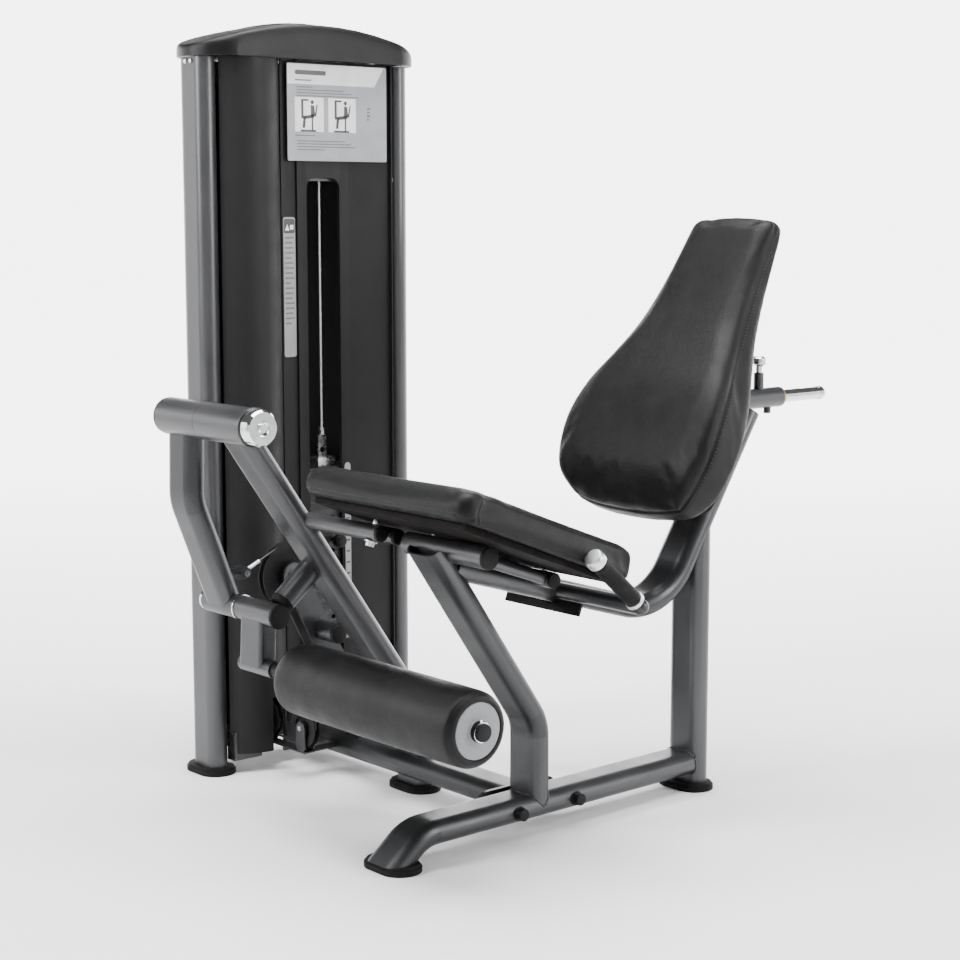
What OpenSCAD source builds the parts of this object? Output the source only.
/* [Seat position] */
// Height of the front top edge of the seat pad
seat_h = 756; // [746:1:766]
// Width of the seat pad
seat_w = 480; // [440:5:500]
// Downward slope of the seat towards the back, in degrees
seat_slope = 21; // [19:0.5:23]
// Recline of the back pad from upright, in degrees
back_recline = 27.5; // [27:0.5:28]

/* [Frame tubes] */
// Width of the flat-oval frame tube
tube_w = 91; // [88:1:94]
// Thickness of the flat-oval frame tube
tube_t = 48; // [46:1:50]
// Wall of the frame tubes
tube_wall = 3; // [2:0.5:5]
// Length of the base, front foot to rear foot
base_l = 822; // [800:1:850]

/* [Leg lever] */
// Outside diameter of the pivot knuckles
pivot_d = 76; // [70:1:80]
// Diameter of the foam roller
roller_d = 144; // [130:1:150]
// Length of the foam roller
roller_l = 540; // [480:1:545]

/* [Weight tower] */
// Height to the underside of the tower's top cover
tower_h = 1558; // [1540:1:1580]
// Distance between the two tower posts, centre to centre
tower_span = 519; // [515:1:530]
// Plates that stay down when the pin is in its drawn hole
plates_down = 9; // [8:1:9]
// Plates that the pin picks up
plates_up = 7; // [6:1:7]

/* [Hidden] */
$fn = 48;

// Colours
frame_grey = [0.33, 0.34, 0.35];
black = [0.09, 0.09, 0.10];
soft_black = [0.14, 0.14, 0.15];
chrome = [0.82, 0.83, 0.84];
zinc = [0.70, 0.71, 0.72];
bronze = [0.66, 0.50, 0.28];
pale = [0.80, 0.81, 0.82];

// Working positions are measured from the front foot: X = 0 is the middle of the seat,
// +X the sitter's left, and the sitter faces -Y.
tower_x = -777;
cap_depth = 184;
tower_y = 107;
tower_rear_y = tower_y + tower_span;
low_x = tower_x - cap_depth / 2;
high_x = 281.5;
low_y = -126;
high_y = 1252;
home = [-(low_x + high_x) / 2, -(low_y + high_y) / 2, 0];

foot_t = 15;
foot_l = 128;
foot_w = 84;
rail_z = 58;
rail_top = rail_z + tube_t / 2;

// Seat strut and pivot strut
strut_y = 352;
strut_bend_z = 228;
pivot_strut_x = -378;
pivot_strut_y = 366;
pivot_strut_bend_z = 170;

// Knee pivot, and the tube that hangs below it
pivot_y = -88;
pivot_z = 822;
pivot_left = -607;
pivot_seam = -469;
pivot_right = -307;
seam_gap = 1;
shaft_d = 25;
bush_wall = 4;
lever_x = -558;
cross_y = 5;
cross_z = 427;
cross_d = 50;
cross_left = -612;
cross_ring = -497;
cross_right = -362;
spindle_d = 38;
roller_y = 0;
roller_z = 317;
roller_right = 246;
roller_left = roller_right - roller_l;
shin_x = -437;
shin_w = 76;
shin_t = 42;
housing_d = 36;
axle_d = 20;

// Seat, in its own sloping plane
seat_front_y = -14;
seat_l = 448;
pad_t = 60;
board_t = 12;
seat_t = pad_t + board_t;

// Back frame and slide
back_start = [130, 569];
back_corner = [708, 398];
back_top = [973, 806];
sleeve_z = 829;
sleeve_y0 = 905;
sleeve_y1 = 1094;
sleeve_d = 44;
rod_d = 28;
rod_end_y = 1252;

// Plane of the back board, and the pad on it
back_pad_y = 696;
back_pad_z = 666;
back_board_t = 12;
back_plate_t = 6;

// Weight tower
panel_x = -724;
stack_x = -768;
stack_y = 416;
plate_w = 250;
plate_d = 76;
plate_t = 25;
plate_gap = 0.6;
plate_pitch = plate_t + plate_gap;
stack_seat_z = 214;
stack_base_z = 250;
rod_spread = 150;
guide_d = 20;
split_z = stack_base_z + plates_down * plate_pitch;
head_z = split_z + plates_up * plate_pitch;
pin_z = split_z + plate_t / 2;
link_top = head_z + 62;
selector_d = 24;

// Cable and pulleys
cable_d = 5;
cable_play = 0.4;
big_r = 66;
big_y = 168;
big_z = 467;
feed_r = 38;
feed_z = 112;
cable_y = big_y + big_r;
feed_span = lever_x - stack_x;
top_r = (stack_y - cable_y) / 2;
top_z = 1408;
rim = 6;
clevis_y = 50;
clevis_z = 486;

function dir(a) = [cos(a), sin(a)];
function heading(p, q) = atan2(q[1] - p[1], q[0] - p[0]);
function wrap(a) = a > 180 ? a - 360 : a < -180 ? a + 360 : a;

// Points along an arc about c, from angle a0 to a1
function arc(c, r, a0, a1, n = 12) = [for (i = [0 : n]) c + r * dir(a0 + (a1 - a0) * i / n)];

// Flat-oval outline, a wide along X and b wide along Y
module oval(a, b) {
  long = max(a, b);
  short = min(a, b);
  turn = a >= b ? 0 : 90;
  rotate(turn) union() {
    square([long - short + 0.001, short], center = true);
    for (s = [-1, 1]) translate([s * (long - short) / 2, 0]) circle(d = short);
  }
}

// Rectangle with round corners
module rounded_bar(a, b, r) {
  square([a - 2 * r, b], center = true);
  square([a, b - 2 * r], center = true);
  for (x = [-1, 1], y = [-1, 1]) translate([x * (a / 2 - r), y * (b / 2 - r)]) circle(r);
}

module tube_section(a, b, wall) {
  difference() {
    oval(a, b);
    if (wall > 0) oval(a - 2 * wall, b - 2 * wall);
  }
}

// Tube bent in the YZ plane at x, through points [y, z], with one bend radius
module bent_tube(x, pts, r, a, b, wall = 0) {
  n = len(pts);
  turns = [for (i = [0 : n - 1]) i == 0 || i == n - 1 ? 0
    : wrap(heading(pts[i], pts[i + 1]) - heading(pts[i - 1], pts[i]))];
  cuts = [for (t = turns) r * tan(abs(t) / 2)];
  for (i = [0 : n - 2]) {
    h = heading(pts[i], pts[i + 1]);
    p = pts[i] + cuts[i] * dir(h);
    q = pts[i + 1] - cuts[i + 1] * dir(h);
    translate([x, p[0], p[1]]) rotate([h - 90, 0, 0])
      linear_extrude(norm(q - p)) tube_section(a, b, wall);
  }
  for (i = [1 : 1 : n - 2]) if (abs(turns[i]) > 0.1) {
    h = heading(pts[i - 1], pts[i]);
    side = turns[i] > 0 ? 1 : -1;
    s = pts[i] - cuts[i] * dir(h);
    c = s + r * dir(h + 90 * side);
    from = turns[i] > 0 ? h - 90 : h + 90 + turns[i];
    translate([x, c[0], c[1]]) rotate([90, 0, 90]) rotate([0, 0, from])
      rotate_extrude(angle = abs(turns[i])) translate([r, 0]) tube_section(b, a, wall);
  }
}

// Rod or pipe along X, Y or Z between two ends
module bar_x(x0, x1, y, z, d, bore = 0) {
  translate([x0, y, z]) rotate([0, 90, 0]) pipe(x1 - x0, d, bore);
}

module bar_y(y0, y1, x, z, d, bore = 0) {
  translate([x, y0, z]) rotate([-90, 0, 0]) pipe(y1 - y0, d, bore);
}

module bar_z(z0, z1, x, y, d, bore = 0) {
  translate([x, y, z0]) pipe(z1 - z0, d, bore);
}

module pipe(l, d, bore) {
  difference() {
    cylinder(h = l, d = d);
    if (bore > 0) translate([0, 0, -1]) cylinder(h = l + 2, d = bore);
  }
}

// Box from its lowest corner to its highest corner
module block(lo, hi) {
  translate(lo) cube(hi - lo);
}

module below(z) {
  block([-2000, -2000, z - 500], [2000, 2000, z]);
}

// Outline of the back frame, used again where other tubes meet it
back_path = [back_start, back_corner, back_top];
back_bend = 150;

// ---- Frame ----

bolt_ys = [284, 440];
stop_angle = 40.4;
stop_d = 50;
stop_l = 135;
stop_clear = 25.5;
stop_pad = 14;
stop_x = -392;
flange_t = 8;
rail_y = pivot_strut_y - 8;
small_d = 32;
tube1 = [62, 622];
tube2 = [104, 612];
tube3 = [118, 602];
tube3_d = 44;
tube4 = [328, 527];
tube1_end = -110;
tube3_left = -90;
tube3_right = 140;
tube4_end = 92;
handle = [396, 492];
handle_x = 262;
grip_end = [266, 604];
stay_x = 74;
base_path = [[-31, -9], [54, rail_z], [base_l - tube_t / 2, rail_z]];
base_bend = 90;
strut_path = [[strut_y, rail_z], [strut_y, strut_bend_z], [84, 610]];
pivot_path = [[pivot_strut_y, foot_t], [pivot_strut_y, pivot_strut_bend_z],
  [pivot_y - 6, pivot_z + 4]];
strut_bend = 95;

// Everything in the seat's sloping plane: Y runs back down the slope, Z out of the cushion
module in_seat_plane() {
  translate([0, seat_front_y, seat_h]) rotate([-seat_slope, 0, 0]) children();
}

module in_back_plane() {
  translate([0, back_pad_y, back_pad_z]) rotate([-back_recline, 0, 0]) children();
}

module base_rail() {
  color(frame_grey) translate(home) difference() {
    bent_tube(0, base_path, base_bend, tube_w, tube_t, tube_wall);
    below(foot_t);
    for (y = bolt_ys) bar_x(-60, 60, y, rail_z, 13);
  }
}

module seat_strut() {
  color(frame_grey) translate(home) difference() {
    bent_tube(0, strut_path, strut_bend, tube_w, tube_t, tube_wall);
    bent_tube(0, base_path, base_bend, tube_w + 0.2, tube_t + 0.2);
    bent_tube(0, back_path, back_bend, tube_w + 0.2, tube_t + 0.2);
    bar_x(-150, 150, tube3[0], tube3[1], tube3_d + 0.2);
    in_seat_plane() block([-90, -90, -104], [90, 400, 60]);
  }
}

module pivot_strut() {
  color(frame_grey) translate(home) difference() {
    union() {
      difference() {
        bent_tube(pivot_strut_x, pivot_path, strut_bend, tube_w, tube_t, tube_wall);
        stop_tube_solid();
      }
      stop_tube();
    }
    bar_x(pivot_left, pivot_right + 20, pivot_y, pivot_z, pivot_d + 0.2);
    translate([pivot_strut_x - 70, rail_y, rail_z]) rotate([0, 90, 0]) linear_extrude(140)
      oval(tube_t + 0.2, tube_w + 0.2);
    for (t = [tube1, tube2]) bar_x(pivot_strut_x, 0, t[0], t[1], small_d + 0.2);
  }
}

// Stop tube that reaches down and forward from the pivot strut to the lever's cross tube
module on_stop_line() {
  translate([stop_x, cross_y, cross_z]) rotate([stop_angle - 90, 0, 0])
    translate([0, 0, stop_clear]) children();
}

module stop_tube_solid() {
  on_stop_line() translate([0, 0, stop_pad]) cylinder(h = stop_l, d = stop_d);
}

module stop_tube() {
  difference() {
    stop_tube_solid();
    on_stop_line() cylinder(h = stop_l + 60, d = stop_d - 6);
    for (back = [0, 40]) translate([0, back, 0])
      bent_tube(pivot_strut_x, pivot_path, strut_bend, tube_w, tube_t);
  }
}

module stop_bumper() {
  color(black) translate(home) on_stop_line() {
    cylinder(h = stop_pad, d1 = stop_d - 8, d2 = stop_d + 2);
    translate([0, 0, stop_pad]) cylinder(h = 20, d = stop_d - 6);
  }
}

module rear_post() {
  color(frame_grey) translate(home) difference() {
    bent_tube(0, [[base_l, foot_t], [base_l, 620]], 90, tube_w, tube_t, tube_wall);
    bent_tube(0, back_path, back_bend, tube_w + 0.2, tube_t + 0.2);
    translate([-100, 0, 0]) rotate([90, 0, 90]) linear_extrude(200)
      polygon([[640, back_corner[1]], back_corner, back_top, [640, 900]]);
  }
}

module cross_rail() {
  color(frame_grey) translate(home) difference() {
    union() {
      translate([panel_x, rail_y, rail_z]) rotate([0, 90, 0])
        linear_extrude(-panel_x - tube_w / 2 - flange_t) tube_section(tube_t, tube_w, tube_wall);
      translate([-tube_w / 2 - flange_t, 362, rail_z]) rotate([0, 90, 0])
        linear_extrude(flange_t) oval(tube_t + 2, 212);
    }
    for (y = bolt_ys) bar_x(-90, 0, y, rail_z, 13);
  }
}

module frame_bolts() {
  head_x = tube_w / 2;
  nut_x = -tube_w / 2 - flange_t;
  color(black) translate(home) {
    for (y = bolt_ys) {
      bar_x(nut_x - 12, head_x, y, rail_z, 12.9);
      bar_x(head_x, head_x + 3, y, rail_z, 30);
      bar_x(head_x + 3, head_x + 16, y, rail_z, 25);
      bar_x(nut_x - 14, nut_x, y, rail_z, 22);
    }
    bar_x(panel_x + 6, panel_x + 20, 446, 66, 22);
    // Two screws at the top of the front post
    for (s = [-1, 1]) bar_y(tower_y - tube_t / 2 - 3, tower_y - tube_t / 2, tower_x + s * 10,
      tower_h - 9, 9);
  }
}

beam_h = 40;
clamp_z = 1300;
clamp_t = 8;
beam_top = tower_h - 10;

module tower_frame() {
  inner0 = tower_y + tube_t / 2;
  inner1 = tower_rear_y - tube_t / 2;
  back_x = tower_x - tube_w / 2 + 1;
  color(frame_grey) translate(home) {
    for (y = [tower_y, tower_rear_y]) translate([tower_x, y, foot_t])
      linear_extrude(tower_h - foot_t) tube_section(tube_w, tube_t, tube_wall);
    // Top beam, back bottom beam, and the shelf that the weights stand on
    block([tower_x - 30, inner0, beam_top - beam_h], [tower_x + 30, inner1, beam_top]);
    block([back_x, inner0, 42], [back_x + 32, inner1, 82]);
    block([back_x, 290, stack_seat_z - 24], [tower_x + 40, inner1, stack_seat_z]);
    block([back_x, 290, 82], [back_x + 32, 322, stack_seat_z - 24]);
    // Front bottom plate, open where the cable goes in
    block([panel_x, inner0, 28], [panel_x + 6, 204, 92]);
    block([panel_x, 264, 28], [panel_x + 6, rail_y - tube_w / 2 - 1, 92]);
    block([panel_x, rail_y + tube_w / 2 + 1, 28], [panel_x + 6, inner1, 92]);
    for (y = [inner0, inner1 - 12]) block([tower_x + 30, y, 28], [panel_x, y + 11, 92]);
    // Plate that holds the upper ends of the guide rods
    difference() {
      block([stack_x - 34, 300, clamp_z], [stack_x + 34, inner1, clamp_z + clamp_t]);
      for (s = [-1, 1]) bar_z(clamp_z - 1, clamp_z + 4, stack_x, stack_y + s * rod_spread / 2, guide_d);
      bar_z(clamp_z - 1, clamp_z + clamp_t + 1, stack_x, stack_y, 20);
    }
  }
}

module back_frame() {
  color(frame_grey) translate(home) difference() {
    bent_tube(0, back_path, back_bend, tube_w, tube_t, tube_wall);
    bar_y(sleeve_y0 - 50, sleeve_y1 + 50, 0, sleeve_z, sleeve_d + 0.2);
    block([-80, 900, sleeve_z], [80, 1200, 1000]);
    bar_x(-140, 140, tube3[0], tube3[1], tube3_d + 0.2);
    block([-80, 60, 400], [80, tube3[0], 700]);
  }
}

// Cross tubes and two long stays under the seat
module seat_frame() {
  left = pivot_strut_x + tube_w / 2 - 22;
  color(frame_grey) translate(home) {
    for (t = [tube1, tube2]) bar_x(left, tube1_end, t[0], t[1], small_d, small_d - 5);
    difference() {
      bar_x(tube3_left, tube3_right, tube3[0], tube3[1], tube3_d, tube3_d - 6);
      for (t = [tube1, tube2]) bar_x(-300, tube1_end + 6, t[0], t[1], small_d + 0.2);
    }
    difference() {
      bar_x(-tube4_end, tube4_end, tube4[0], tube4[1], small_d, small_d - 5);
      bent_tube(0, back_path, back_bend, tube_w + 0.2, tube_t + 0.2);
    }
    for (x = [-stay_x, stay_x]) difference() {
      stay(x);
      bar_x(-140, 140, tube3[0], tube3[1], tube3_d + 0.2);
      bar_x(-140, 140, tube4[0], tube4[1], small_d + 0.2);
    }
  }
}

module stay(x) {
  a = heading(tube3, tube4);
  translate([x, tube3[0], tube3[1]]) rotate([a - 90, 0, 0])
    cylinder(h = norm(tube4 - tube3), d = 25);
}

module handle_bar() {
  a = heading(handle, grip_end);
  color(frame_grey) translate(home) {
    difference() {
      bar_x(-handle_x, handle_x, handle[0], handle[1], small_d);
      bent_tube(0, back_path, back_bend, tube_w + 0.2, tube_t + 0.2);
    }
    for (x = [-handle_x, handle_x]) translate([x, handle[0], handle[1]]) {
      sphere(d = small_d);
      rotate([a - 90, 0, 0]) cylinder(h = norm(grip_end - handle) - 4, d = 24);
    }
  }
}

module on_grip(x) {
  a = heading(handle, grip_end);
  translate([x, handle[0], handle[1]]) rotate([a - 90, 0, 0]) children();
}

module grip_sleeves() {
  l = norm(grip_end - handle);
  color(black) translate(home) for (x = [-handle_x, handle_x]) on_grip(x)
    translate([0, 0, 26]) pipe(l - 46, 34, 24);
}

module grip_collars() {
  l = norm(grip_end - handle);
  color(zinc) translate(home) for (x = [-handle_x, handle_x]) on_grip(x) {
    translate([0, 0, 18]) pipe(8, 38, 24);
    translate([0, 0, l - 20]) pipe(16, 39, 24);
    translate([0, 0, l - 4]) cylinder(h = 4, d1 = 39, d2 = 34);
  }
}

module underseat_plate() {
  color(frame_grey) translate(home) difference() {
    in_seat_plane() block([-107, 478, -143], [107, 484, -117]);
    bent_tube(0, back_path, back_bend, tube_w + 0.2, tube_t + 0.2);
  }
}

module rubber_feet() {
  spots = [[0, 0], [0, base_l - 6], [tower_x, tower_y], [tower_x, tower_rear_y],
    [pivot_strut_x, pivot_strut_y]];
  color(black) translate(home) for (p = spots) translate(p) {
    linear_extrude(foot_t - 5) oval(foot_l, foot_w);
    translate([0, 0, foot_t - 5]) linear_extrude(5) oval(foot_l - 8, foot_w - 8);
  }
}

module tube_caps() {
  color(black) translate(home) {
    for (t = [tube1, tube2]) bar_x(tube1_end, tube1_end + 6, t[0], t[1], small_d - 1);
    bar_x(tube3_right, tube3_right + 6, tube3[0], tube3[1], tube3_d - 1);
    bar_x(tube3_left - 6, tube3_left, tube3[0], tube3[1], tube3_d - 14);
    for (s = [-1, 1]) bar_x(s * (tube4_end + 3) - 3, s * (tube4_end + 3) + 3, tube4[0], tube4[1],
      small_d - 1);
    bar_x(stay_tube_x1, stay_tube_x1 + 7, stay_tube[0], stay_tube[1], stay_tube_d - 1);
  }
}

// Bolts that hold the seat board to the cross tubes
module seat_studs() {
  spots = [[-132, tube1, small_d], [-26, tube3, tube3_d], [-60, tube4, small_d],
    [60, tube4, small_d]];
  color(zinc) translate(home) for (p = spots) {
    dy = p[1][0] - seat_front_y;
    dz = p[1][1] - seat_h;
    y = cos(seat_slope) * dy - sin(seat_slope) * dz;
    z = sin(seat_slope) * dy + cos(seat_slope) * dz;
    in_seat_plane() {
      bar_z(z + p[2] / 2, -seat_t, p[0], y, 12);
      if (p[1] != tube4) {
        bar_z(z - p[2] / 2 - 3, z - p[2] / 2, p[0], y, 26);
        bar_z(z - p[2] / 2 - 11, z - p[2] / 2 - 3, p[0], y, 17);
      }
    }
  }
}

// ---- Cushions ----

// Rectangle with round corners, r at the front and s at the back
module cushion_side(l, t, r, s) {
  polygon(concat(arc([r, -r], r, 180, 90), arc([l - s, -s], s, 90, 0),
    arc([l - s, s - t], s, 0, -90), arc([r, r - t], r, 270, 180)));
}

module seat_pad() {
  color(soft_black) translate(home) in_seat_plane() translate([-seat_w / 2, 0, 0])
    rotate([90, 0, 90]) linear_extrude(seat_w) cushion_side(seat_l, pad_t, 28, 20);
}

module seat_board() {
  color(black) translate(home) in_seat_plane()
    block([-seat_w / 2 + 18, 30, -seat_t], [seat_w / 2 - 18, seat_l - 16, -pad_t]);
}

// Back pad: height along the board, half width, and thickness in front of the board
back_steps = [[-66, 120, 30], [-50, 166, 82], [-27, 190, 106], [27, 206, 117], [104, 208, 123],
  [178, 198, 113], [241, 179, 98], [371, 142, 73], [498, 125, 57], [586, 114, 50], [606, 98, 42]];

module back_outline(inset) {
  n = len(back_steps) - 1;
  low = back_steps[0][0] + inset;
  high = back_steps[n][0] - inset;
  polygon(concat([for (p = back_steps) [p[1] - inset, max(low, min(p[0], high))]],
    [for (i = [n : -1 : 0]) [inset - back_steps[i][1], max(low, min(back_steps[i][0], high))]]));
}

module back_pad() {
  n = len(back_steps) - 1;
  color(soft_black) translate(home) in_back_plane() intersection() {
    translate([0, 5, 0]) rotate([90, 0, 0]) linear_extrude(200) back_outline(0);
    translate([-300, 0, 0]) rotate([90, 0, 90]) linear_extrude(600)
      polygon(concat([[0, back_steps[n][0]], [0, back_steps[0][0]]],
        [for (p = back_steps) [-p[2], p[0]]]));
  }
}

module back_board() {
  bracket_z = (sleeve_z - back_pad_z) / cos(back_recline);
  color(black) translate(home) in_back_plane() {
    translate([0, back_board_t, 0]) rotate([90, 0, 0])
      linear_extrude(back_board_t) back_outline(22);
    block([-55, back_board_t, bracket_z - 110],
      [55, back_board_t + back_plate_t, bracket_z + 70]);
  }
}

// ---- Back slide ----

rod_start_y = 800;
keyway = 7;

module slide_rod() {
  color(chrome) translate(home) {
    difference() {
      bar_y(rod_start_y - 60, rod_end_y - 22, 0, sleeve_z, rod_d);
      in_back_plane() block([-60, -100, -100], [60, back_board_t + back_plate_t, 500]);
      // Keyway that the lock pin rides in
      block([-5.2, pull_pin_y - 5.2, sleeve_z + rod_d / 2 - keyway],
        [5.2, pull_pin_y + 136, sleeve_z + rod_d]);
    }
    translate([0, rod_end_y - 22, sleeve_z]) rotate([-90, 0, 0]) {
      cylinder(h = 10, d = rod_d + 2);
      translate([0, 0, 10]) cylinder(h = 12, d1 = rod_d + 2, d2 = rod_d - 8);
    }
  }
}

pull_pin_y = 1030;

module back_sleeve() {
  color(frame_grey) translate(home) difference() {
    union() {
      bar_y(sleeve_y0, sleeve_y1, 0, sleeve_z, sleeve_d);
      bar_z(sleeve_z, sleeve_z + sleeve_d / 2 + 34, 0, pull_pin_y, 22);
      bar_z(sleeve_z - sleeve_d / 2 - 12, sleeve_z, 0, pull_pin_y + 30, 16);
    }
    bar_y(sleeve_y0 - 1, sleeve_y1 + 1, 0, sleeve_z, sleeve_d - 8);
    bar_z(sleeve_z, sleeve_z + 80, 0, pull_pin_y, 10.1);
  }
}

module back_pull_pin() {
  top = sleeve_z + sleeve_d / 2 + 34;
  color(zinc) translate(home) {
    bar_z(sleeve_z + rod_d / 2 - 6, top + 8, 0, pull_pin_y, 10);
    bar_z(top + 0.5, top + 14, 0, pull_pin_y, 14);
    translate([0, pull_pin_y, top + 14]) {
      cylinder(h = 6, d1 = 16, d2 = 30);
      translate([0, 0, 6]) cylinder(h = 12, d = 30);
      translate([0, 0, 18]) cylinder(h = 4, d1 = 30, d2 = 20);
    }
  }
}

module plain_bushes() {
  color(bronze) translate(home) {
    for (y = [sleeve_y0, sleeve_y1 - 26]) bar_y(y, y + 26, 0, sleeve_z, sleeve_d - 8, rod_d + 0.1);
    for (y = [sleeve_y0 - 4, sleeve_y1]) bar_y(y, y + 4, 0, sleeve_z, sleeve_d, rod_d + 0.1);
    for (x = [pivot_seam + seam_gap, pivot_right - 34])
      bar_x(x, x + 34, pivot_y, pivot_z, shaft_d + 2 * bush_wall, shaft_d + 0.1);
  }
}

// ---- Knee pivot and lever ----

module pivot_housing() {
  color(frame_grey) translate(home) bar_x(pivot_seam + seam_gap, pivot_right, pivot_y, pivot_z,
    pivot_d, shaft_d + 2 * bush_wall);
}

module pivot_shaft() {
  color(chrome) translate(home) bar_x(pivot_left + 6, pivot_right + 6, pivot_y, pivot_z, shaft_d);
}

lever_path = [[pivot_y + 8, pivot_z], [pivot_y + 4, 652], [cross_y, cross_z]];

module lever_arm() {
  color(frame_grey) translate(home) {
    difference() {
      bent_tube(lever_x, lever_path, 110, tube_w, tube_t, tube_wall);
      bar_x(pivot_left - 1, pivot_right, pivot_y, pivot_z, pivot_d - 2);
      bar_x(cross_left - 10, cross_right, cross_y, cross_z, cross_d + 0.2);
    }
    bar_x(pivot_left, pivot_seam, pivot_y, pivot_z, pivot_d, shaft_d + 0.1);
  }
}

module lever_cross_tube() {
  color(frame_grey) translate(home) {
    bar_x(cross_left, cross_ring, cross_y, cross_z, cross_d);
    bar_x(cross_ring, cross_right - 8, cross_y, cross_z, spindle_d);
  }
}

module lever_end_cap() {
  color(black) translate(home) bar_x(pivot_left - 7, pivot_left, pivot_y, pivot_z, pivot_d - 2);
}

module lever_chrome() {
  cap_x = pivot_right + 0.5;
  color(chrome) translate(home) {
    difference() {
      union() {
        bar_x(cap_x, cap_x + 22, pivot_y, pivot_z, pivot_d - 4);
        translate([cap_x + 22, pivot_y, pivot_z]) rotate([0, 90, 0])
          cylinder(h = 5, d1 = pivot_d - 4, d2 = pivot_d - 12);
      }
      bar_x(cap_x - 1, pivot_right + 6.5, pivot_y, pivot_z, shaft_d + 0.1);
      bar_x(cap_x + 20, cap_x + 40, pivot_y, pivot_z, 30);
    }
    bar_x(cap_x + 20, cap_x + 28, pivot_y, pivot_z, 17);
    bar_x(cross_ring, cross_ring + 3.5, cross_y, cross_z, cross_d + 4, spindle_d);
    translate([cross_left - 14, cross_y, cross_z]) rotate([0, 90, 0]) {
      cylinder(h = 5, d1 = cross_d - 14, d2 = cross_d - 4);
      translate([0, 0, 5]) cylinder(h = 9, d = cross_d - 4);
    }
    bar_x(lever_x - 16, lever_x + 16, clevis_y, clevis_z, 8);
    for (s = [-1, 1]) bar_x(lever_x + s * 15 - 3, lever_x + s * 15 + 3, clevis_y, clevis_z, 14);
  }
}

module cable_clevis() {
  color(frame_grey) translate(home) difference() {
    union() for (s = [-1, 1]) {
      x = lever_x + s * 9;
      block([x - 3, cross_y - 30, clevis_z - 13], [x + 3, clevis_y, clevis_z + 13]);
      bar_x(x - 3, x + 3, clevis_y, clevis_z, 26);
    }
    bar_x(lever_x - 20, lever_x + 20, clevis_y, clevis_z, 8);
    bent_tube(lever_x, lever_path, 110, tube_w, tube_t);
  }
}

// ---- Roller arm ----

module shin_arm() {
  sleeve0 = cross_ring + 4;
  color(frame_grey) translate(home) {
    bar_x(sleeve0, cross_right - 6, cross_y, cross_z, cross_d, spindle_d + 0.1);
    difference() {
      translate([shin_x, roller_y, roller_z])
        rotate([heading([roller_y, roller_z], [cross_y, cross_z]) - 90, 0, 0])
        linear_extrude(cross_z - roller_z) difference() {
          rounded_bar(shin_w, shin_t, 9);
          rounded_bar(shin_w - 2 * tube_wall, shin_t - 2 * tube_wall, 6);
        }
      bar_x(sleeve0 - 10, cross_right + 10, cross_y, cross_z, cross_d - 1);
      bar_x(sleeve0 - 10, cross_right + 10, roller_y, roller_z, housing_d - 1);
    }
    bar_x(shin_x - shin_w / 2 - 8, shin_x + shin_w / 2 + 24, roller_y, roller_z, housing_d, axle_d);
  }
}

module shin_end_cap() {
  color(black) translate(home) bar_x(cross_right - 6, cross_right, cross_y, cross_z, cross_d - 0.6);
}

module roller_axle() {
  color(zinc) translate(home) bar_x(shin_x - shin_w / 2 - 6, roller_right + 12, roller_y, roller_z,
    axle_d);
}

module roller_retainer() {
  color(black) translate(home) {
    bar_x(roller_right + 1, roller_right + 10, roller_y, roller_z, 40, axle_d);
    bar_x(roller_right + 12, roller_right + 18, roller_y, roller_z, 33);
    bar_x(roller_right + 10, roller_right + 12, roller_y, roller_z, 33, axle_d);
    bar_x(shin_x + shin_w / 2 + 24, roller_left - 1, roller_y, roller_z, 30, axle_d);
  }
}

core_d = 60;
disc_d = 106;
disc_t = 6;

module roller_pad() {
  color(soft_black) translate(home) difference() {
    union() {
      bar_x(roller_left + 10, roller_right - 10, roller_y, roller_z, roller_d);
      for (x = [roller_left, roller_right - 10]) bar_x(x, x + 10, roller_y, roller_z, roller_d - 8);
    }
    bar_x(roller_left - 1, roller_right + 1, roller_y, roller_z, core_d);
    for (x = [roller_left - 1, roller_right - disc_t]) bar_x(x, x + disc_t + 1, roller_y, roller_z,
      disc_d);
  }
}

module roller_core() {
  color(zinc) translate(home) {
    bar_x(roller_left + disc_t, roller_right - disc_t, roller_y, roller_z, core_d, axle_d + 0.1);
    for (x = [roller_left, roller_right - disc_t]) bar_x(x, x + disc_t, roller_y, roller_z, disc_d,
      axle_d + 0.1);
  }
}

// ---- Cable ----

pin_to_hub = norm([clevis_y - big_y, clevis_z - big_z]);
touch = heading([big_y, big_z], [clevis_y, clevis_z]) - acos(big_r / pin_to_hub);
free_l = sqrt(pow(pin_to_hub, 2) - pow(big_r, 2));
eye_l = 46;

// Arc of cable about the X axis through [y, z], from angle a0 to a1, seen from +X
module cable_arc(r, a0, a1) {
  rotate([90, 0, 90]) rotate([0, 0, a0]) rotate_extrude(angle = a1 - a0) translate([r, 0])
    circle(d = cable_d);
}

module main_cable() {
  low_z = feed_z - feed_r;
  color(black) translate(home) {
    translate([lever_x, big_y, big_z]) cable_arc(big_r, 0, touch);
    bar_z(feed_z, big_z, lever_x, cable_y, cable_d);
    in_feed_plane() {
      translate([feed_r, 0, feed_z]) rotate([0, 0, 90]) cable_arc(feed_r, 180, 270);
      translate([feed_r, 0, low_z]) rotate([0, 90, 0]) cylinder(h = feed_span - 2 * feed_r, d = cable_d);
      translate([feed_span - feed_r, 0, feed_z]) rotate([0, 0, 90]) cable_arc(feed_r, 270, 360);
    }
    bar_z(feed_z, top_z, stack_x, cable_y, cable_d);
    translate([stack_x, cable_y + top_r, top_z]) cable_arc(top_r, 0, 180);
  }
}

// Upright plane of the two floor pulleys: X runs from the falling cable to the rising one
module in_feed_plane() {
  translate([lever_x, cable_y, 0]) rotate([0, 0, 180]) children();
}

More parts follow.
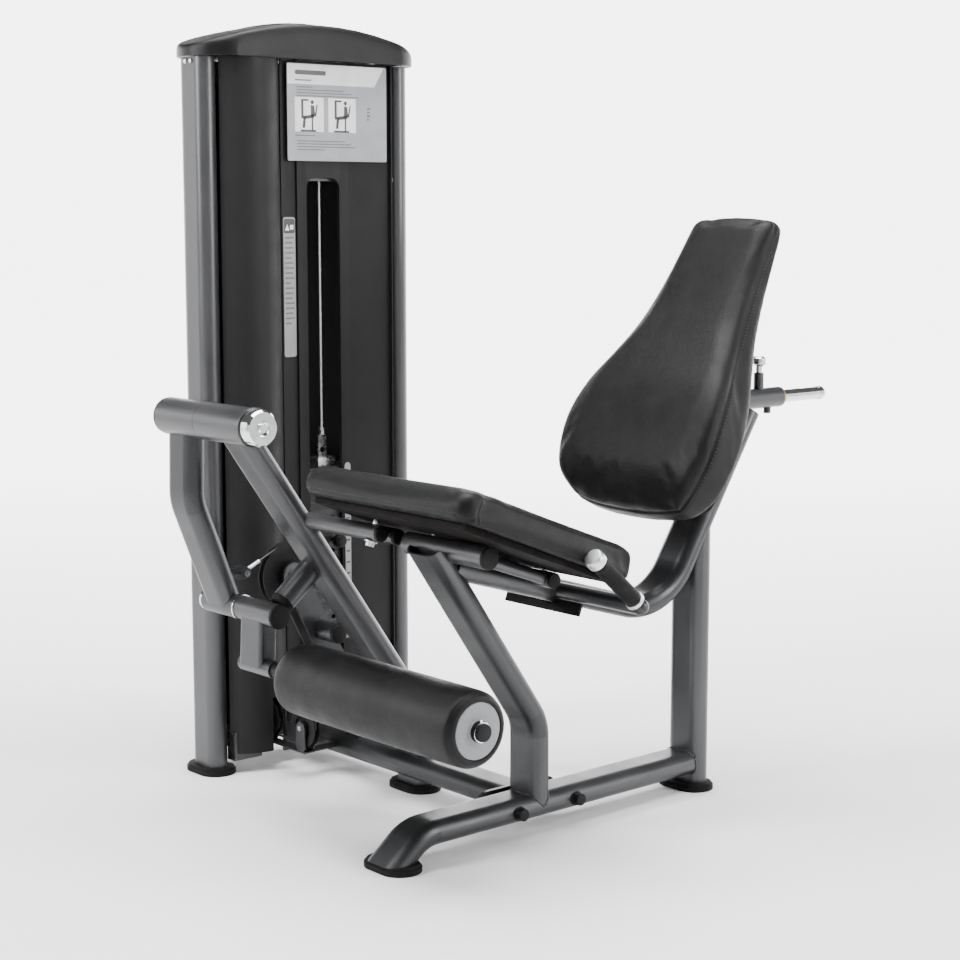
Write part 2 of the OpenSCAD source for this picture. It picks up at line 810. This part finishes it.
module stack_cable() {
  color(zinc) translate(home) bar_z(link_top + 24, top_z, stack_x, stack_y, cable_d);
}

module on_cable_line() {
  translate([lever_x, clevis_y, clevis_z]) rotate([cable_lean - 90, 0, 0]) children();
}

cable_lean = heading([clevis_y, clevis_z],
  [big_y + big_r * cos(touch), big_z + big_r * sin(touch)]);

module cable_eye() {
  color(zinc) translate(home) difference() {
    union() {
      bar_x(lever_x - 5, lever_x + 5, clevis_y, clevis_z, 18);
      on_cable_line() cylinder(h = eye_l, d = 9);
    }
    bar_x(lever_x - 9, lever_x + 9, clevis_y, clevis_z, 8.1);
  }
}

module lever_cable() {
  color(black) translate(home) on_cable_line() translate([0, 0, eye_l])
    cylinder(h = free_l - eye_l, d = cable_d);
}

// Grooved pulley about the Z axis, whose cable runs at radius r
module pulley(r, w, bore, hub) {
  floor_r = r - cable_d / 2 - cable_play;
  rotate_extrude() difference() {
    union() {
      translate([bore / 2, -w / 2]) square([r + rim - bore / 2, w]);
      translate([bore / 2, -w / 2 - 3]) square([hub / 2 - bore / 2, w + 6]);
    }
    polygon([[floor_r, -3.2], [floor_r, 3.2], [r + rim + 1, w / 2 - 1], [r + rim + 1, 1 - w / 2]]);
    for (s = [-1, 1]) translate([hub / 2 + 5, s * w / 2 - 3]) square([floor_r - hub / 2 - 14, 6]);
  }
}

module along_x(x, y, z) {
  translate([x, y, z]) rotate([0, 90, 0]) children();
}

module big_pulley() {
  color(black) translate(home) along_x(lever_x, big_y, big_z) pulley(big_r, 18, 16.1, 50);
}

module top_pulley() {
  color(black) translate(home) along_x(stack_x, cable_y + top_r, top_z)
    pulley(top_r, 16, 12.1, 36);
}

module on_feed_axle(x) {
  in_feed_plane() translate([x, 0, feed_z]) rotate([90, 0, 0]) children();
}

module feed_pulley_front() {
  color(black) translate(home) on_feed_axle(feed_r) pulley(feed_r, 14, 12.1, 24);
}

module feed_pulley_rear() {
  color(black) translate(home) on_feed_axle(feed_span - feed_r) pulley(feed_r, 14, 12.1, 24);
}

module pulley_axles() {
  color(zinc) translate(home) {
    bar_x(lever_x - 26, lever_x + 26, big_y, big_z, 16);
    bar_x(lever_x + 22, lever_x + 30, big_y, big_z, 26);
    bar_x(stack_x - 20, stack_x + 20, cable_y + top_r, top_z, 12);
    for (x = [feed_r, feed_span - feed_r]) on_feed_axle(x) {
      translate([0, 0, -17]) cylinder(h = 34, d = 12);
      translate([0, 0, 14]) cylinder(h = 6, d = 18);
    }
  }
}

stay_tube = [241, 339];
stay_tube_d = 42;
stay_tube_x0 = lever_x + 22;
stay_tube_x1 = lever_x + 74;

module pulley_brackets() {
  low_z = feed_z - feed_r;
  color(frame_grey) translate(home) {
    // Two cheeks of the big pulley, which stand on the cross rail
    for (s = [-1, 1]) translate([lever_x + s * 19 - 3, 0, 0]) rotate([90, 0, 90])
      linear_extrude(6) difference() {
        union() {
          translate([big_y, big_z]) circle(d = 56);
          polygon([[big_y - 24, big_z - 14], [big_y + 23, big_z + 16], [404, rail_top],
            [334, rail_top]]);
        }
        translate([big_y, big_z]) circle(d = 16);
      }
    bar_x(stay_tube_x0, stay_tube_x1, stay_tube[0], stay_tube[1], stay_tube_d, stay_tube_d - 6);
    // Channel of the two floor pulleys
    in_feed_plane() {
      for (x = [feed_r, feed_span - feed_r]) for (s = [-1, 1]) difference() {
        translate([x, s * 12.5 + 1.5, (low_z + feed_z - 3) / 2]) rotate([90, 0, 0])
          linear_extrude(3) oval(32, feed_r + 31);
        translate([x, 20, feed_z]) rotate([90, 0, 0]) cylinder(h = 40, d = 12);
      }
      block([feed_r - 16, -14, low_z - 17], [feed_span - feed_r + 16, 14, low_z - 14]);
    }
    block([lever_x - 56, cable_y + 14, low_z - 17],
      [lever_x - 24, rail_y - tube_w / 2, low_z - 14]);
    // Cheeks of the top pulley
    for (s = [-1, 1]) difference() {
      block([stack_x + s * 15 - 2, cable_y + top_r - 22, clamp_z + clamp_t],
        [stack_x + s * 15 + 2, cable_y + top_r + 22, beam_top - beam_h]);
      bar_x(stack_x - 40, stack_x + 40, cable_y + top_r, top_z, 12);
    }
  }
}

// ---- Weight tower ----

shroud_r = 90;
shroud_t = 2.5;
shroud_y = 205;
cover_z = 44;
slot_y0 = 346;
slot_y1 = 436;
panel_end = 584;
slot_top = 1306;
slot_bottom = 236;

module shroud_sheet(side) {
  translate([0, 0, cover_z]) linear_extrude(tower_h - cover_z) intersection() {
    translate([tower_x, shroud_y]) difference() {
      circle(r = shroud_r, $fn = 120);
      circle(r = shroud_r - shroud_t, $fn = 120);
    }
    mirror([side > 0 ? 0 : 1, 0]) translate([side * tower_x + tube_w / 2 + 0.4, 0]) square([shroud_r, 400]);
  }
}

module front_shroud() {
  color(soft_black) translate(home) difference() {
    shroud_sheet(1);
    block([panel_x - 6, tower_y, cover_z - 1], [panel_x + 6.2, 400, 92.2]);
    block([tower_x, 214, 40], [tower_x + 100, 256, 165]);
  }
}

module slot_panel() {
  color(soft_black) translate(home) difference() {
    union() {
      block([panel_x - 3, 281, 92.2], [panel_x, panel_end, tower_h]);
      block([panel_x, 320, 92.2], [panel_x + 5, 462, tower_h]);
      block([panel_x - 3, panel_end - 3, 92.2], [panel_x + 9, panel_end, tower_h]);
    }
    slot_r = 22;
    for (y = [slot_y0 + slot_r, slot_y1 - slot_r]) bar_x(panel_x - 10, panel_x + 10, y,
      slot_top - slot_r, 2 * slot_r);
    block([panel_x - 10, slot_y0 + slot_r, slot_bottom], [panel_x + 10, slot_y1 - slot_r, slot_top]);
    block([panel_x - 10, slot_y0, slot_bottom], [panel_x + 10, slot_y1, slot_top - slot_r]);
  }
}

module rear_cover() {
  x = tower_x - tube_w / 2 - 3;
  color(soft_black) translate(home) {
    shroud_sheet(-1);
    block([x, 279, cover_z], [x + 2.5, tower_rear_y - tube_t / 2, tower_h]);
  }
}

cap_y = 369;
cap_l = 582;
cap_edge = 22;
cap_rise = 42;

// Block with an arched top: l long, edge high at its ends, and higher by rise in its middle
module arch(l, edge, rise, d) {
  r = (l * l / 4 + rise * rise) / (2 * rise);
  half = asin(l / 2 / r);
  translate([-d / 2, 0, 0]) rotate([90, 0, 90]) linear_extrude(d)
    polygon(concat([[l / 2, 0]], arc([0, edge + rise - r], r, 90 - half, 90 + half, 24),
      [[-l / 2, 0]]));
}

// Outline with half-round ends, a wide and l long
module long_oval(a, l) {
  polygon(concat(arc([0, (l - a) / 2], a / 2, 0, 180, 24), arc([0, (a - l) / 2], a / 2, 180, 360, 24)));
}

module top_cap() {
  color(black) translate(home) translate([tower_x, cap_y, tower_h]) {
    intersection() {
      arch(cap_l, cap_edge, cap_rise, cap_depth + 2);
      linear_extrude(120) long_oval(cap_depth, cap_l);
    }
    intersection() {
      translate([0, 14, 0]) arch(cap_l - 130, cap_edge + 22, cap_rise - 1, cap_depth);
      linear_extrude(120) long_oval(cap_depth - 56, cap_l - 60);
    }
  }
}

module placards() {
  x = panel_x;
  color(pale) translate(home) {
    block([x + 5, 320, 1343], [x + 8, 462, 1552]);
    block([x + 8, 293, 1343], [x + 10, 567, 1552]);
    block([x, 284, 915], [x + 1.5, 316, 1221]);
  }
}

module weight_strip() {
  color(zinc) translate(home) {
    block([panel_x + 5, 443, 262], [panel_x + 6.5, 459, 660]);
    bar_x(panel_x + 5, panel_x + 6.5, 451, 660, 16);
  }
}

module guide_rods() {
  color(chrome) translate(home) for (s = [-1, 1])
    bar_z(stack_seat_z, clamp_z + 4, stack_x, stack_y + s * rod_spread / 2, guide_d);
}

module stack_bumpers() {
  color(black) translate(home) for (s = [-1, 1]) translate([stack_x, stack_y + s * rod_spread / 2,
    stack_seat_z]) pipe(stack_base_z - stack_seat_z, 46, guide_d);
}

module plate(z) {
  difference() {
    block([stack_x - plate_d / 2, stack_y - plate_w / 2, z],
      [stack_x + plate_d / 2, stack_y + plate_w / 2, z + plate_t]);
    bar_z(z - 1, z + plate_t + 1, stack_x, stack_y, selector_d + 0.2);
    for (s = [-1, 1]) bar_z(z - 1, z + plate_t + 1, stack_x, stack_y + s * rod_spread / 2,
      guide_d + 0.2);
    bar_x(stack_x - 20, stack_x + plate_d, stack_y, z + plate_t / 2, 10.2);
  }
}

module fixed_plates() {
  color(black) translate(home) for (i = [0 : plates_down - 1]) plate(stack_base_z + i * plate_pitch);
}

module lifted_plates() {
  color(black) translate(home) for (i = [0 : plates_up - 1]) plate(split_z + i * plate_pitch);
}

// Rod that the pin locks to a plate, with its head block, stud and keyhole link
module selector_rod() {
  color(zinc) translate(home) {
    difference() {
      bar_z(stack_base_z + 4, head_z + 10, stack_x, stack_y, selector_d);
      for (i = [0 : plates_down + plates_up - 1]) bar_x(stack_x - 30, stack_x + 30, stack_y,
        stack_base_z + i * plate_pitch + plate_t / 2, 10.2);
    }
    block([stack_x - 18, stack_y - 24, head_z], [stack_x + 18, stack_y + 24, head_z + 20]);
    difference() {
      union() {
        block([stack_x - 3, stack_y - 11, head_z + 20], [stack_x + 3, stack_y + 11, link_top]);
        bar_x(stack_x - 3, stack_x + 3, stack_y, link_top, 22);
      }
      bar_x(stack_x - 9, stack_x + 9, stack_y, head_z + 36, 14);
    }
    bar_z(link_top + 8, link_top + 24, stack_x, stack_y, 11);
  }
}

module selector_pin() {
  knob_x = panel_x + 12;
  color(black) translate(home) {
    bar_x(stack_x - 16, knob_x, stack_y, pin_z, 10);
    bar_x(knob_x, knob_x + 16, stack_y, pin_z, 30);
    bar_x(knob_x + 16, knob_x + 20, stack_y, pin_z, 24);
  }
}

base_rail();
seat_strut();
pivot_strut();
rear_post();
cross_rail();
tower_frame();
back_frame();
seat_frame();
handle_bar();
underseat_plate();
rubber_feet();
tube_caps();
frame_bolts();
seat_studs();
grip_sleeves();
grip_collars();
seat_board();
seat_pad();
back_sleeve();
plain_bushes();
pivot_housing();
stop_bumper();
pulley_brackets();
pulley_axles();
front_shroud();
slot_panel();
rear_cover();
top_cap();
placards();
weight_strip();
guide_rods();
stack_bumpers();
fixed_plates();
main_cable();
stack_cable();
lever_arm();
lever_cross_tube();
pivot_shaft();
lever_chrome();
lever_end_cap();
cable_clevis();
shin_arm();
shin_end_cap();
roller_axle();
roller_retainer();
roller_pad();
roller_core();
cable_eye();
lever_cable();
lifted_plates();
selector_rod();
selector_pin();
big_pulley();
feed_pulley_front();
feed_pulley_rear();
top_pulley();
back_pad();
back_board();
slide_rod();
back_pull_pin();
